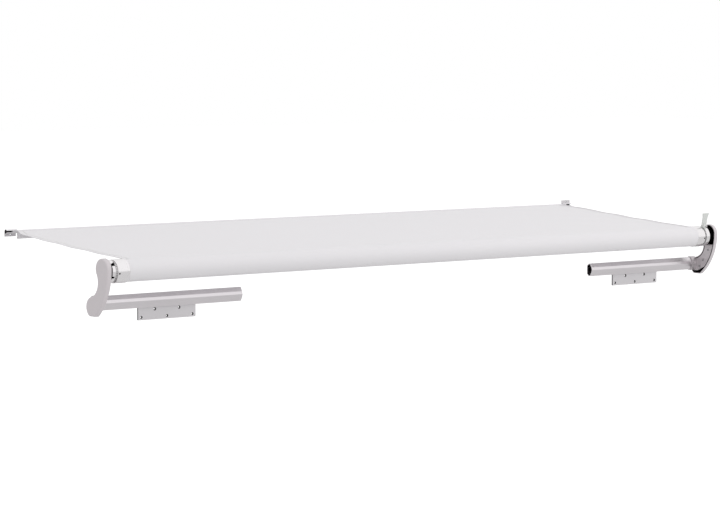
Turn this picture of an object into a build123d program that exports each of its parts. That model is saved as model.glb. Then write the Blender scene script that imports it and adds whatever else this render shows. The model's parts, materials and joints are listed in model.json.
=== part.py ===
from build123d import *
from math import asin, atan2, cos, degrees, hypot, pi, radians, sin
import os

# Slide topper awning: a sprung roller on two short arms winds up a sheet of fabric over a slide-out room.
# Millimetres. X runs along the roller, Y points at the wall of the vehicle and Z up.
# The origin lies on the face that the mounting plates screw to, half way between them,
# level with their lower row of holes.

# Roller and fabric
AXIS_FROM_FACE = 69.0
AXIS_ABOVE_HOLES = 134.5
FABRIC_HALF_WIDTH = 1063.0
TUBE_RADIUS = 27.0
TUBE_WALL = 1.3
WOUND_CORE = 2.6
FABRIC_THICK = 0.7
POCKET_RADIUS = 4.2
POCKET_WALL = 1.2
POCKET_MOUTH = 2.6
POCKET_ANGLE = 215.0
ROLLER_ROPE_RADIUS = 3.0

# Fabric stretched to the vehicle wall
REACH = 565.0
RISE = 75.0
SAG = 3.0
LIFT_CLEAR = 0.3
BEAD_RADIUS = 3.5
BEAD_HALF_LENGTH = 1056.0
CORNER_IN = 23.0
CORNER_BACK = 60.0
HEM_DEPTH = 17.5
HEM_THICK = 1.4

# Rail stops that hold the far corners
STOP_IN_FROM_EDGE = 22.0
STOP_SIDE_GAP = 1.0
STOP_LENGTH = 36.0
STOP_RADIUS = 5.8
STOP_BORE_CLEAR = 0.4
STOP_MOUTH = 4.4
STOP_FLANGE = 14.5
STOP_FLANGE_THICK = 1.8
STOP_HOLE_RADIUS = 2.1
STOP_HOLE_OFFSET = 9.5

# End caps, with a toothed ring for the lock
CAP_RADIUS = 32.0
LEFT_CAP_LENGTH = 38.6
RIGHT_CAP_LENGTH = 29.5
CAP_CHAMFER = 1.5
CAP_GROOVE_AT = 6.5
CAP_GROOVE_WIDTH = 2.0
CAP_GROOVE_DEPTH = 0.8
CAP_PLUG_LENGTH = 30.0
CAP_PLUG_CLEAR = 0.1
CAP_PLUG_CAVITY = 16.0
CAP_CAVITY = 24.0
CAP_WEB_FROM_RING = 8.0
CAP_WEB = 26.0
CAP_NECK = 1.5
CAP_NECK_RADIUS = 28.5
RATCHET_RADIUS = 30.0
LEFT_RATCHET_LENGTH = 4.5
RIGHT_RATCHET_LENGTH = 4.0
RATCHET_TEETH = 40
NOTCH_DEPTH = 2.2
NOTCH_TOP = 2.9
NOTCH_FLOOR = 1.9
CUT_OVERRUN = 1.0
CAP_SCREW_RADIUS = 2.4
CAP_SCREW_FIT = 0.01
CAP_SCREW_FROM_END = 4.0
CAP_SCREW_PROUD = 0.2
CAP_SCREW_LENGTH = 7.0
CAP_SCREWS = 3
CAP_SCREW_ANGLE = 188.0
BUSH_WALL = 3.5
BUSH_FLANGE = 2.5
BUSH_FLANGE_THICK = 2.0

# Fixed shafts, springs and hubs
SHAFT_RADIUS = 6.0
SHAFT_LENGTH = 430.0
SHAFT_FIT = 0.04
PIN_FIT = 0.05
SHAFT_PIN_RADIUS = 1.5
SPRING_WIRE = 1.6
SPRING_RADIUS = 13.0
SPRING_TURNS = 26
SPRING_CAP_GAP = 3.0
ANCHOR_RADIUS = 16.0
ANCHOR_LENGTH = 12.0
ANCHOR_FROM_END = 5.0
ANCHOR_CHAMFER = 0.8
HUB_RADIUS = 31.0
HUB_WALL = 2.5
LEFT_HUB_LENGTH = 11.6
RIGHT_HUB_LENGTH = 15.2
HUB_FLOOR = 3.5
HUB_GAP = 0.8
HUB_BOSS_RADIUS = 10.0
HUB_BOSS_SET_IN = 3.0
HUB_TO_RIM = 7.0
WINDOW_LOW = 16.5
WINDOW_HEIGHT = 9.5
WINDOW_HEIGHT_AT_ARM = 4.5
SMALL_SLOT_WIDTH = 8.0
SMALL_SLOT_HEIGHT = 4.6
SMALL_SLOT_DROP = 16.35

# Lock lever on the right hub, drawn locked and then swung back by its travel
LOCK_SWING = 10.0
PIVOT_Y = -12.4
PIVOT_Z = 33.37
LEVER_PIN_RADIUS = 1.6
LEVER_BOSS = 3.8
EAR_RADIUS = 4.5
EAR_THICK = 2.0
EAR_ROOT = 27.0
LEVER_SIDE_GAP = 0.5
LEVER_LEG = 10.0
LEVER_THICK = 3.2
PADDLE_LENGTH = 40.0
PADDLE_START = 6.0
PADDLE_SHOULDER = 1.5
PADDLE_LEAN = 13.0
FLARE_LENGTH = 14.0
FLARE_EXTRA = 5.0
PAWL_AHEAD = 42.75
PAWL_TIP_CLEAR = 0.55
PAWL_TIP_WIDTH = 1.1
PAWL_ROOT_WIDTH = 1.9
PAWL_RIDE = 1.0
PAWL_ARM = 4.5
PAWL_OVERHANG = 3.0

# Arms: a casting under a cover, seen from the side as an arc that swells at the head and the foot
ARM_DEPTH = 14.0
ARM_WALL = 2.2
ARM_EDGE_ROUND = 4.0
ARM_FIT = 0.15
CORE_WALL = 2.4
CORE_WEB = 3.0
CORE_BOSS_RADIUS = 10.0
CORE_CHAMFER = ARM_EDGE_ROUND / 3
CORE_FLANGE_RADIUS = 29.0
CORE_FLANGE_GAP = 0.3
FLANGE_BORE_CLEAR = 0.1
HEAD_SHIFT_Y = -8.5
HEAD_SHIFT_Z = 7.5
HEAD_RADIUS = 28.5
NECK_HOLLOW = 41.0
FOOT_RADIUS = 28.0
FOOT_FROM_BAR = (-14.5, -7.5)
SOLE_BELOW_BAR = 32.3
SOLE_FRONT_FROM_BAR = -27.5
SOLE_ROUND = 4.5
PLATE_THICK = 2.5
PLATE_TOP = -26.5
PLATE_LOW_CORNER_FROM_BAR = (-16.5, -22.5)
PLATE_LOW_TIP_FROM_BAR = (-45.5, -8.5)
POST_RADIUS = 5.0
TOP_POST_FROM_AXIS = (-9.0, -44.5)
MIDDLE_POST_FROM_BAR = (-39.5, 11.5)
LOW_POST_FROM_BAR = (-25.5, -9.0)
ARM_SCREW_RADIUS = 2.0
ARM_SCREW_HEAD = 3.6
ARM_SCREW_HEAD_THICK = 1.6

# Support bars in their sockets
BAR_FACE_GAP = 4.5
BAR_AXIS_ABOVE_HOLES = 46.5
BAR_HALF_HEIGHT = 19.2
BAR_DEPTH = 24.0
BAR_WALL = 2.2
BAR_RIDGE = 2.2
BAR_TOP_FRONT = 9.0
BAR_SHOULDER = 8.0
BAR_BACK_CHAMFER = 7.0
LEFT_BAR_INNER = 644.0
RIGHT_BAR_INNER = 677.0
SOCKET_LENGTH = 20.0
SOCKET_WALL = 1.8
SOCKET_CLEAR = 0.3
SET_SCREW_RADIUS = 2.5
SET_SCREW_PROUD = 0.6
SET_SCREW_SPREAD = 9.0

# Mounting plates
MOUNT_LENGTH = 189.0
MOUNT_CENTRE = 880.5
MOUNT_BELOW_HOLES = 8.0
MOUNT_ABOVE_BAR_AXIS = 13.0
MOUNT_HOLE_RADIUS = 2.25
MOUNT_LOWER_SINK = 3.6
MOUNT_OUTER_SPREAD = 168.0
MOUNT_UPPER_SPREAD = 80.0
MOUNT_UPPER_RISE = 20.5
MOUNT_UPPER_SINK = 4.4
MOUNT_CORNER_ROUND = 1.5
PLATE_SCREW_RADIUS = 2.4
PLATE_SCREW_HEAD = 4.6
PLATE_SCREW_SPREAD = 70.0
PLATE_SCREW_LENGTH = 9.0

# Places along the right half of the roller
STOP_INNER = FABRIC_HALF_WIDTH - STOP_IN_FROM_EDGE
X_RING = FABRIC_HALF_WIDTH
X_LEFT_RATCHET = X_RING + LEFT_CAP_LENGTH + CAP_NECK
X_LEFT_HUB = X_LEFT_RATCHET + LEFT_RATCHET_LENGTH + HUB_GAP
X_RIGHT_RATCHET = X_RING + RIGHT_CAP_LENGTH + CAP_NECK
X_RIGHT_HUB = X_RIGHT_RATCHET + RIGHT_RATCHET_LENGTH + HUB_GAP
X_RIM = X_LEFT_HUB + LEFT_HUB_LENGTH + HUB_TO_RIM
X_CORE = X_RIM
X_OUTER = X_RIM + ARM_DEPTH
X_CORE_END = X_OUTER - ARM_WALL
X_WEB = X_CORE_END - CORE_WEB
X_SHAFT_IN = X_CORE_END - SHAFT_LENGTH
AXIS_Y = -AXIS_FROM_FACE
AXIS_Z = AXIS_ABOVE_HOLES
BAR_Y = -BAR_FACE_GAP - BAR_DEPTH / 2
BAR_Z = BAR_AXIS_ABOVE_HOLES
WOUND_RADIUS = TUBE_RADIUS + WOUND_CORE + FABRIC_THICK


def at_axis(sketch_or_part, x=0.0):
    """Moves a shape made about the X axis to the roller's axis."""
    return Pos(x, AXIS_Y, AXIS_Z) * sketch_or_part


def side_plane(x, y=AXIS_Y, z=AXIS_Z):
    """A plane across the roller at x: its first direction is +Y and its second +Z."""
    return Plane(origin=(x, y, z), x_dir=(0, 1, 0), z_dir=(1, 0, 0))


def rod(x0, x1, radius, y=AXIS_Y, z=AXIS_Z):
    """A round bar along X."""
    return Pos((x0 + x1) / 2, y, z) * Rot(0, 90, 0) * Cylinder(radius, x1 - x0)


def prism(x0, x1, sketch, y=AXIS_Y, z=AXIS_Z):
    """A flat outline, drawn in Y and Z, carried from x0 to x1."""
    return extrude(side_plane(x0, y, z) * sketch, x1 - x0)


def turned(points):
    """A ring turned about the roller's axis from (x, radius) points."""
    line = Polyline(*[(x, 0, r) for x, r in points], close=True)
    return Pos(0, AXIS_Y, AXIS_Z) * revolve(make_face(line), Axis.X)


def left_of(part):
    """The same piece for the other side."""
    return mirror(part, about=Plane.YZ)


# Roller


def pocket_centre():
    """Where the rope pocket sits, its round wall touching the inside of the tube's skin."""
    reach = TUBE_RADIUS - TUBE_WALL / 2 - POCKET_RADIUS - POCKET_WALL / 2
    a = radians(POCKET_ANGLE)
    return reach * cos(a), reach * sin(a)


def roller_tube():
    y, z = pocket_centre()
    skin = Circle(TUBE_RADIUS) - Circle(TUBE_RADIUS - TUBE_WALL)
    pocket = Pos(y, z) * Circle(POCKET_RADIUS + POCKET_WALL)
    mouth = Rot(0, 0, POCKET_ANGLE) * Pos(TUBE_RADIUS, 0) * Rectangle(2 * POCKET_RADIUS, POCKET_MOUTH)
    section = skin + pocket - Pos(y, z) * Circle(POCKET_RADIUS) - mouth
    section = section & Circle(TUBE_RADIUS)
    return prism(-FABRIC_HALF_WIDTH, FABRIC_HALF_WIDTH, section)


def roller_rope():
    y, z = pocket_centre()
    half = FABRIC_HALF_WIDTH - FABRIC_THICK
    return prism(-half, half, Pos(y, z) * Circle(ROLLER_ROPE_RADIUS))


def fabric_wound():
    """The turns on the tube: round below, and stepped at the top where the outer turn leaves."""
    outer = WOUND_RADIUS
    inner = WOUND_RADIUS - FABRIC_THICK
    shift = FABRIC_THICK / 2
    front = CenterArc((0, 0), outer, 90, 180)
    back = CenterArc((0, -shift), outer - shift, 270, 180)
    step = Line((0, inner), (0, outer))
    section = make_face([front, back, step]) - Circle(TUBE_RADIUS)
    return prism(-FABRIC_HALF_WIDTH, FABRIC_HALF_WIDTH, section)


# Fabric out to the wall


def sheet_path():
    """Start, middle and end of the sheet's underside, from the roller's axis, in Y and Z."""
    lift = WOUND_RADIUS + LIFT_CLEAR
    slope = atan2(RISE, REACH) - asin(lift / hypot(REACH, RISE)) - 4 * SAG / REACH
    start = (-lift * sin(slope), lift * cos(slope))
    end = (REACH - BEAD_RADIUS, RISE)
    middle = ((start[0] + end[0]) / 2, (start[1] + end[1]) / 2 - SAG)
    return start, middle, end


def fabric_sheet():
    start, middle, end = sheet_path()
    low = ThreePointArc(start, middle, end)
    up = [(p[0], p[1] + FABRIC_THICK) for p in (start, middle, end)]
    high = ThreePointArc(*up)
    ends = [Line(start, up[0]), Line(end, up[2])]
    sheet = prism(-FABRIC_HALF_WIDTH, FABRIC_HALF_WIDTH, make_face([low, high] + ends))
    y_end = AXIS_Y + REACH
    corner = [
        (STOP_INNER - STOP_SIDE_GAP, y_end),
        (FABRIC_HALF_WIDTH, y_end - CORNER_BACK),
        (FABRIC_HALF_WIDTH + CORNER_IN, y_end - CORNER_BACK),
        (FABRIC_HALF_WIDTH + CORNER_IN, y_end),
    ]
    cut = extrude(make_face(Polyline(*corner, close=True)), AXIS_Z + RISE + REACH)
    return sheet - cut - left_of(cut)


def hem_bead():
    return rod(-BEAD_HALF_LENGTH, BEAD_HALF_LENGTH, BEAD_RADIUS, AXIS_Y + REACH, AXIS_Z + RISE)


def hem_strip():
    """The end of the fabric, which hangs below the bead."""
    half = STOP_INNER - STOP_SIDE_GAP
    hang = (Align.CENTER, Align.CENTER, Align.MAX)
    strip = Box(2 * half, HEM_THICK, BEAD_RADIUS + HEM_DEPTH, align=hang)
    return Pos(0, AXIS_Y + REACH, AXIS_Z + RISE) * strip - hem_bead()


def rail_stop(side):
    """A short length of rail round the end of the bead.

    Its flange hangs on the left and stands on the right.
    """
    bore = BEAD_RADIUS + STOP_BORE_CLEAR
    flange = Pos(STOP_RADIUS - STOP_FLANGE_THICK / 2, STOP_FLANGE / 2)
    flange = flange * Rectangle(STOP_FLANGE_THICK, STOP_FLANGE)
    section = Circle(STOP_RADIUS) + flange - Circle(bore)
    section -= Pos(-STOP_RADIUS, 0) * Rectangle(2 * STOP_RADIUS, STOP_MOUTH)
    stop = prism(STOP_INNER, STOP_INNER + STOP_LENGTH, section, 0, 0)
    hole = Pos(STOP_INNER + STOP_LENGTH / 2, STOP_RADIUS, STOP_HOLE_OFFSET)
    stop -= hole * Rot(90, 0, 0) * Cylinder(STOP_HOLE_RADIUS, 4 * STOP_FLANGE_THICK)
    if side < 0:
        stop = mirror(left_of(stop), about=Plane.XY)
    return Pos(0, AXIS_Y + REACH, AXIS_Z + RISE) * stop


# End caps


def ratchet_notch(ratchet, ratchet_end):
    """One notch of the toothed ring, at the top of the roller."""
    top = RATCHET_RADIUS + CUT_OVERRUN
    floor = RATCHET_RADIUS - NOTCH_DEPTH
    points = [
        (-NOTCH_TOP / 2, top),
        (NOTCH_TOP / 2, top),
        (NOTCH_FLOOR / 2, floor),
        (-NOTCH_FLOOR / 2, floor),
    ]
    # the gaps on either side of the toothed ring leave room for the cut to run past it
    reach = HUB_GAP / 8
    return prism(ratchet - reach, ratchet_end + reach, make_face(Polyline(*points, close=True)), 0, 0)


def end_cap(cap_length, ratchet_length):
    cap_end = X_RING + cap_length
    ratchet = cap_end + CAP_NECK
    ratchet_end = ratchet + ratchet_length
    plug = TUBE_RADIUS - TUBE_WALL - CAP_PLUG_CLEAR
    groove = X_RING + CAP_GROOVE_AT
    web_start = X_RING - CAP_WEB_FROM_RING
    web_end = web_start + CAP_WEB
    bore = SHAFT_RADIUS + BUSH_WALL
    cap = turned([
        (X_RING - CAP_PLUG_LENGTH, CAP_PLUG_CAVITY),
        (X_RING - CAP_PLUG_LENGTH, plug),
        (X_RING, plug),
        (X_RING, CAP_RADIUS - CAP_CHAMFER),
        (X_RING + CAP_CHAMFER, CAP_RADIUS),
        (groove, CAP_RADIUS),
        (groove + CAP_GROOVE_DEPTH, CAP_RADIUS - CAP_GROOVE_DEPTH),
        (groove + CAP_GROOVE_WIDTH - CAP_GROOVE_DEPTH, CAP_RADIUS - CAP_GROOVE_DEPTH),
        (groove + CAP_GROOVE_WIDTH, CAP_RADIUS),
        (cap_end - CAP_CHAMFER, CAP_RADIUS),
        (cap_end, CAP_RADIUS - CAP_CHAMFER),
        (cap_end, CAP_NECK_RADIUS),
        (ratchet, CAP_NECK_RADIUS),
        (ratchet, RATCHET_RADIUS),
        (ratchet_end, RATCHET_RADIUS),
        (ratchet_end, CAP_CAVITY),
        (web_end, CAP_CAVITY),
        (web_end, bore),
        (web_start, bore),
        (web_start, CAP_PLUG_CAVITY),
    ])
    pitch = 360 / RATCHET_TEETH
    notch = ratchet_notch(ratchet, ratchet_end)
    cap -= [at_axis(Rot(PAWL_AHEAD + n * pitch, 0, 0) * notch) for n in range(RATCHET_TEETH)]
    y, z = pocket_centre()
    keyway = Pos(y, z) * Circle(POCKET_RADIUS + POCKET_WALL + 2 * CAP_PLUG_CLEAR)
    cap -= prism(X_RING - CAP_PLUG_LENGTH, X_RING, keyway)
    for place in cap_screw_places(cap_end):
        cap -= place * Pos(0, 0, CAP_RADIUS) * Cylinder(CAP_SCREW_RADIUS, 2 * CAP_SCREW_LENGTH)
    return cap


def cap_screw_places(cap_end):
    """Radial places for the cap's screws: local Z points out of the roller."""
    x = cap_end - CAP_SCREW_FROM_END
    places = []
    for n in range(CAP_SCREWS):
        angle = CAP_SCREW_ANGLE + n * 360 / CAP_SCREWS
        places.append(Pos(x, AXIS_Y, AXIS_Z) * Rot(angle - 90, 0, 0))
    return places


def end_cap_screws(cap_length):
    screws = []
    for place in cap_screw_places(X_RING + cap_length):
        top = CAP_RADIUS + CAP_SCREW_PROUD
        shank = Cylinder(CAP_SCREW_RADIUS - CAP_SCREW_FIT, CAP_SCREW_LENGTH)
        shank = Pos(0, 0, top - CAP_SCREW_LENGTH / 2) * shank
        screws.append(place * shank)
    return screws


def bearing_bush():
    start = X_RING - CAP_WEB_FROM_RING
    end = start + CAP_WEB
    bore = SHAFT_RADIUS + SHAFT_FIT
    outer = SHAFT_RADIUS + BUSH_WALL
    flange = outer + BUSH_FLANGE
    return turned([
        (start, bore),
        (start, outer),
        (end, outer),
        (end, flange),
        (end + BUSH_FLANGE_THICK, flange),
        (end + BUSH_FLANGE_THICK, bore),
    ])


# Fixed shafts and springs


def pin_place():
    """Middle of the pin that holds the shaft in the arm's casting; local Z is the pin's own line."""
    return Pos((X_CORE + X_WEB) / 2, AXIS_Y, AXIS_Z)


def shaft_pin():
    return pin_place() * Cylinder(SHAFT_PIN_RADIUS, 2 * CORE_BOSS_RADIUS)


def shaft():
    body = rod(X_SHAFT_IN, X_CORE_END - ARM_FIT, SHAFT_RADIUS)
    body = chamfer(body.edges().filter_by(GeomType.CIRCLE), SHAFT_RADIUS / 8)
    return body - pin_place() * Cylinder(SHAFT_PIN_RADIUS, 4 * SHAFT_RADIUS)


def spring_anchor():
    start = X_SHAFT_IN + ANCHOR_FROM_END
    block = rod(start, start + ANCHOR_LENGTH, ANCHOR_RADIUS)
    block -= rod(start - CUT_OVERRUN, start + ANCHOR_LENGTH + CUT_OVERRUN, SHAFT_RADIUS)
    return chamfer(block.edges().filter_by(GeomType.CIRCLE).sort_by(Axis.X)[-2:], ANCHOR_CHAMFER)


def spring_span():
    """Where the wire's centre line starts, beside the anchor, and where it ends, short of the cap."""
    start = X_SHAFT_IN + ANCHOR_FROM_END + ANCHOR_LENGTH + SPRING_WIRE
    end = X_RING - CAP_PLUG_LENGTH - SPRING_CAP_GAP - SPRING_WIRE
    return start, end


def torsion_spring():
    start, end = spring_span()
    pitch = (end - start) / SPRING_TURNS
    path = Helix(pitch, end - start, SPRING_RADIUS)
    wire = Plane(origin=path @ 0, z_dir=path % 0) * Circle(SPRING_WIRE)
    coil = sweep(wire, path)
    return Pos(start, AXIS_Y, AXIS_Z) * Rot(0, 90, 0) * coil


# Hubs and the lock


def hub_shell(start, length):
    """A cup that faces the end cap, with a boss on the shaft that reaches the arm's casting."""
    bore = SHAFT_RADIUS + SHAFT_FIT
    end = start + length
    return turned([
        (start, HUB_RADIUS - HUB_WALL),
        (start, HUB_RADIUS - CAP_CHAMFER / 2),
        (start + CAP_CHAMFER / 2, HUB_RADIUS),
        (end - CAP_CHAMFER, HUB_RADIUS),
        (end, HUB_RADIUS - CAP_CHAMFER),
        (end, HUB_BOSS_RADIUS),
        (X_CORE, HUB_BOSS_RADIUS),
        (X_CORE, bore),
        (start + HUB_BOSS_SET_IN, bore),
        (start + HUB_BOSS_SET_IN, HUB_BOSS_RADIUS),
        (end - HUB_FLOOR, HUB_BOSS_RADIUS),
        (end - HUB_FLOOR, HUB_RADIUS - HUB_WALL),
    ])


def left_hub():
    """The left hub has a window from the toothed ring to the arm, and a slot that opens at the arm."""
    hub = hub_shell(X_LEFT_HUB, LEFT_HUB_LENGTH)
    end = X_LEFT_HUB + LEFT_HUB_LENGTH
    window = [
        (X_LEFT_HUB - CUT_OVERRUN, WINDOW_LOW),
        (end + CUT_OVERRUN, WINDOW_LOW),
        (end + CUT_OVERRUN, WINDOW_LOW + WINDOW_HEIGHT_AT_ARM),
        (X_LEFT_HUB - CUT_OVERRUN, WINDOW_LOW + WINDOW_HEIGHT),
    ]
    towards_front = Plane(origin=(0, AXIS_Y, AXIS_Z), x_dir=(1, 0, 0), z_dir=(0, -1, 0))
    hub -= extrude(towards_front * make_face(Polyline(*window, close=True)), HUB_RADIUS)
    corner = (Align.MIN, Align.MAX, Align.MIN)
    slot = Box(SMALL_SLOT_WIDTH + CUT_OVERRUN, HUB_RADIUS, SMALL_SLOT_HEIGHT, align=corner)
    hub -= Pos(end - SMALL_SLOT_WIDTH, AXIS_Y - HUB_BOSS_RADIUS, AXIS_Z - SMALL_SLOT_DROP) * slot
    return left_of(hub)


def ear_places():
    """Inboard faces of the two ears that carry the lever."""
    first = X_RIGHT_HUB
    second = first + EAR_THICK + LEVER_LEG + 2 * LEVER_SIDE_GAP
    return first, second


def right_hub():
    """The right hub carries the lever between two ears."""
    hub = hub_shell(X_RIGHT_HUB, RIGHT_HUB_LENGTH)
    outline = Pos(PIVOT_Y, PIVOT_Z) * Circle(EAR_RADIUS)
    root = Pos(PIVOT_Y, (PIVOT_Z + EAR_ROOT) / 2) * Rectangle(2 * EAR_RADIUS, PIVOT_Z - EAR_ROOT)
    outline = outline + root - Circle(HUB_RADIUS - HUB_WALL / 2)
    outline -= Pos(PIVOT_Y, PIVOT_Z) * Circle(LEVER_PIN_RADIUS)
    for x in ear_places():
        hub += prism(x, x + EAR_THICK, outline)
    return hub


def lever_span():
    """Inboard and outboard faces of the whole lever, then the same of the leg between the ears."""
    first, second = ear_places()
    inboard = X_RIGHT_RATCHET + LEVER_SIDE_GAP
    return inboard, second - LEVER_SIDE_GAP, first + EAR_THICK + LEVER_SIDE_GAP


def lock_lever():
    """A forked paddle with a pawl over the toothed ring."""
    inboard, outboard, middle = lever_span()
    pawl_end = first_leg_end()
    lean = PADDLE_LEAN + LOCK_SWING
    boss = Pos(PIVOT_Y, PIVOT_Z) * Circle(LEVER_BOSS)
    upright = Pos(PIVOT_Y, PIVOT_Z) * Rot(0, 0, lean) * Pos(0, PADDLE_START / 2 + LEVER_THICK / 2)
    upright = upright * Rectangle(LEVER_THICK, PADDLE_START + LEVER_THICK)
    leg = boss + upright
    lever = prism(middle, outboard, leg) + prism(inboard, pawl_end, leg + pawl_outline())
    width = outboard - inboard
    paddle = [
        (-PADDLE_SHOULDER, PADDLE_START),
        (width + PADDLE_SHOULDER, PADDLE_START),
        (width + PADDLE_SHOULDER, PADDLE_LENGTH - FLARE_LENGTH),
        (width + FLARE_EXTRA, PADDLE_LENGTH),
        (-FLARE_EXTRA, PADDLE_LENGTH),
        (-PADDLE_SHOULDER, PADDLE_LENGTH - FLARE_LENGTH),
    ]
    upright_plane = Plane(origin=(inboard, 0, 0), x_dir=(1, 0, 0), z_dir=(0, -1, 0))
    face = upright_plane * make_face(Polyline(*paddle, close=True))
    blade = Pos(0, LEVER_THICK / 2, 0) * extrude(face, LEVER_THICK)
    lever += Pos(0, AXIS_Y + PIVOT_Y, AXIS_Z + PIVOT_Z) * Rot(lean, 0, 0) * blade
    bore = LEVER_PIN_RADIUS + PIN_FIT
    lever -= rod(inboard - CUT_OVERRUN, outboard + CUT_OVERRUN, bore, AXIS_Y + PIVOT_Y, AXIS_Z + PIVOT_Z)
    pin = Axis((0, AXIS_Y + PIVOT_Y, AXIS_Z + PIVOT_Z), (1, 0, 0))
    return lever.rotate(pin, -LOCK_SWING)


def first_leg_end():
    """Outboard face of the leg that carries the pawl."""
    return X_RIGHT_HUB - LEVER_SIDE_GAP


def pawl_outline():
    """The pawl's arm follows the toothed ring, and its tooth points at the roller's axis."""
    low = RATCHET_RADIUS + PAWL_RIDE
    high = low + PAWL_ARM
    start = degrees(atan2(PIVOT_Z, PIVOT_Y))
    end = 90 + PAWL_AHEAD + PAWL_OVERHANG
    ring = Circle(high) - Circle(low)
    far = 2 * high
    a, b = radians(start), radians(end)
    wedge = Polyline((0, 0), (far * cos(a), far * sin(a)), (far * cos(b), far * sin(b)), close=True)
    arm = ring & make_face(wedge)
    tip = RATCHET_RADIUS - NOTCH_DEPTH + PAWL_TIP_CLEAR
    top = low + PAWL_ARM / 4
    points = [
        (tip, -PAWL_TIP_WIDTH / 2),
        (tip, PAWL_TIP_WIDTH / 2),
        (top, PAWL_ROOT_WIDTH / 2),
        (top, -PAWL_ROOT_WIDTH / 2),
    ]
    tooth = Rot(0, 0, 90 + PAWL_AHEAD) * make_face(Polyline(*points, close=True))
    return arm + tooth


def lock_lever_pin():
    inboard = lever_span()[0]
    end = ear_places()[1] + EAR_THICK
    return rod(inboard, end, LEVER_PIN_RADIUS, AXIS_Y + PIVOT_Y, AXIS_Z + PIVOT_Z)


# Arms


def bar_from_axis(offset):
    """A point given from the bar's middle, as seen from the roller's axis."""
    return BAR_Y - AXIS_Y + offset[0], BAR_Z - AXIS_Z + offset[1]


def on_circle(centre, radius, towards):
    """The point of a circle that lies on the way from its centre to another point."""
    dy, dz = towards[0] - centre[0], towards[1] - centre[1]
    reach = hypot(dy, dz)
    return centre[0] + radius * dy / reach, centre[1] + radius * dz / reach


def hollow_centre(head, foot):
    """Centre of the arc behind the neck, which touches both the head and the foot."""
    gap = hypot(foot[0] - head[0], foot[1] - head[1])
    to_head = HEAD_RADIUS + NECK_HOLLOW
    to_foot = FOOT_RADIUS + NECK_HOLLOW
    along = (gap**2 + to_head**2 - to_foot**2) / (2 * gap)
    out = (to_head**2 - along**2) ** 0.5
    uy, uz = (foot[0] - head[0]) / gap, (foot[1] - head[1]) / gap
    return head[0] + along * uy - out * uz, head[1] + along * uz + out * uy


def arm_outline():
    """The arm from the side: a round head, a bowed front, a hollow back and a flat-soled foot."""
    head = (HEAD_SHIFT_Y, HEAD_SHIFT_Z)
    foot = bar_from_axis(FOOT_FROM_BAR)
    hollow = hollow_centre(head, foot)
    sole_front = bar_from_axis((SOLE_FRONT_FROM_BAR, -SOLE_BELOW_BAR))
    drop = foot[1] - sole_front[1]
    sole_back = (foot[0] + (FOOT_RADIUS**2 - drop**2) ** 0.5, sole_front[1])
    # the bowed front is one arc that leaves the head upright and ends at the sole
    a, b = sole_front[0] - head[0], sole_front[1] - head[1]
    shift = (a * a + b * b - HEAD_RADIUS**2) / (2 * (HEAD_RADIUS + a))
    bow = (head[0] + shift, head[1])
    head_front = (head[0] - HEAD_RADIUS, head[1])
    head_back = on_circle(head, HEAD_RADIUS, hollow)
    foot_back = on_circle(foot, FOOT_RADIUS, hollow)
    half_way = ((head_front[0] + sole_front[0]) / 2, (head_front[1] + sole_front[1]) / 2)
    neck = ((head_back[0] + foot_back[0]) / 2, (head_back[1] + foot_back[1]) / 2)
    heel = (foot[0] + FOOT_RADIUS, foot[1])
    outline = make_face([
        ThreePointArc(head_front, (head[0], head[1] + HEAD_RADIUS), head_back),
        ThreePointArc(head_back, on_circle(hollow, NECK_HOLLOW, neck), foot_back),
        ThreePointArc(foot_back, heel, sole_back),
        Line(sole_back, sole_front),
        ThreePointArc(sole_front, on_circle(bow, HEAD_RADIUS + shift, half_way), head_front),
    ])
    corners = outline.vertices().sort_by(Axis.Y)[:2]
    return fillet(corners, SOLE_ROUND)


def post_places():
    return TOP_POST_FROM_AXIS, bar_from_axis(MIDDLE_POST_FROM_BAR), bar_from_axis(LOW_POST_FROM_BAR)


def arm_cover():
    outline = arm_outline()
    body = prism(X_RIM, X_OUTER, outline)
    outer_edges = body.faces().sort_by(Axis.X)[-1].edges()
    body = fillet(outer_edges, ARM_EDGE_ROUND)
    hollow = prism(X_RIM, X_CORE_END, offset(outline, -ARM_WALL))
    return body - hollow


def arm_core():
    outer = offset(arm_outline(), -ARM_WALL - ARM_FIT)
    inner = offset(arm_outline(), -ARM_WALL - ARM_FIT - CORE_WALL)
    core = prism(X_CORE, X_CORE_END, outer)
    core = core - prism(X_CORE, X_WEB, inner)
    # the rounded edge of the cover needs room at the casting's outer edge
    core = chamfer(core.faces().sort_by(Axis.X)[-1].edges(), CORE_CHAMFER)
    core += rod(X_CORE, X_WEB, CORE_BOSS_RADIUS) & prism(X_CORE, X_WEB, outer)
    # a flange fills the gap between the longer hub and the arm, and the hub's boss passes through it
    flange_start = X_CORE - HUB_TO_RIM + CORE_FLANGE_GAP
    core += rod(flange_start, X_CORE, CORE_FLANGE_RADIUS)
    core -= rod(flange_start, X_CORE, HUB_BOSS_RADIUS + FLANGE_BORE_CLEAR)
    plate_back = X_CORE + PLATE_THICK
    for y, z in post_places():
        core += rod(plate_back, X_WEB, POST_RADIUS, AXIS_Y + y, AXIS_Z + z)
        core -= rod(plate_back, X_WEB, ARM_SCREW_RADIUS, AXIS_Y + y, AXIS_Z + z)
    core -= rod(X_CORE, X_CORE_END - ARM_FIT, SHAFT_RADIUS + SHAFT_FIT)
    return core - pin_place() * Cylinder(SHAFT_PIN_RADIUS, 2 * CORE_BOSS_RADIUS)


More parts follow.
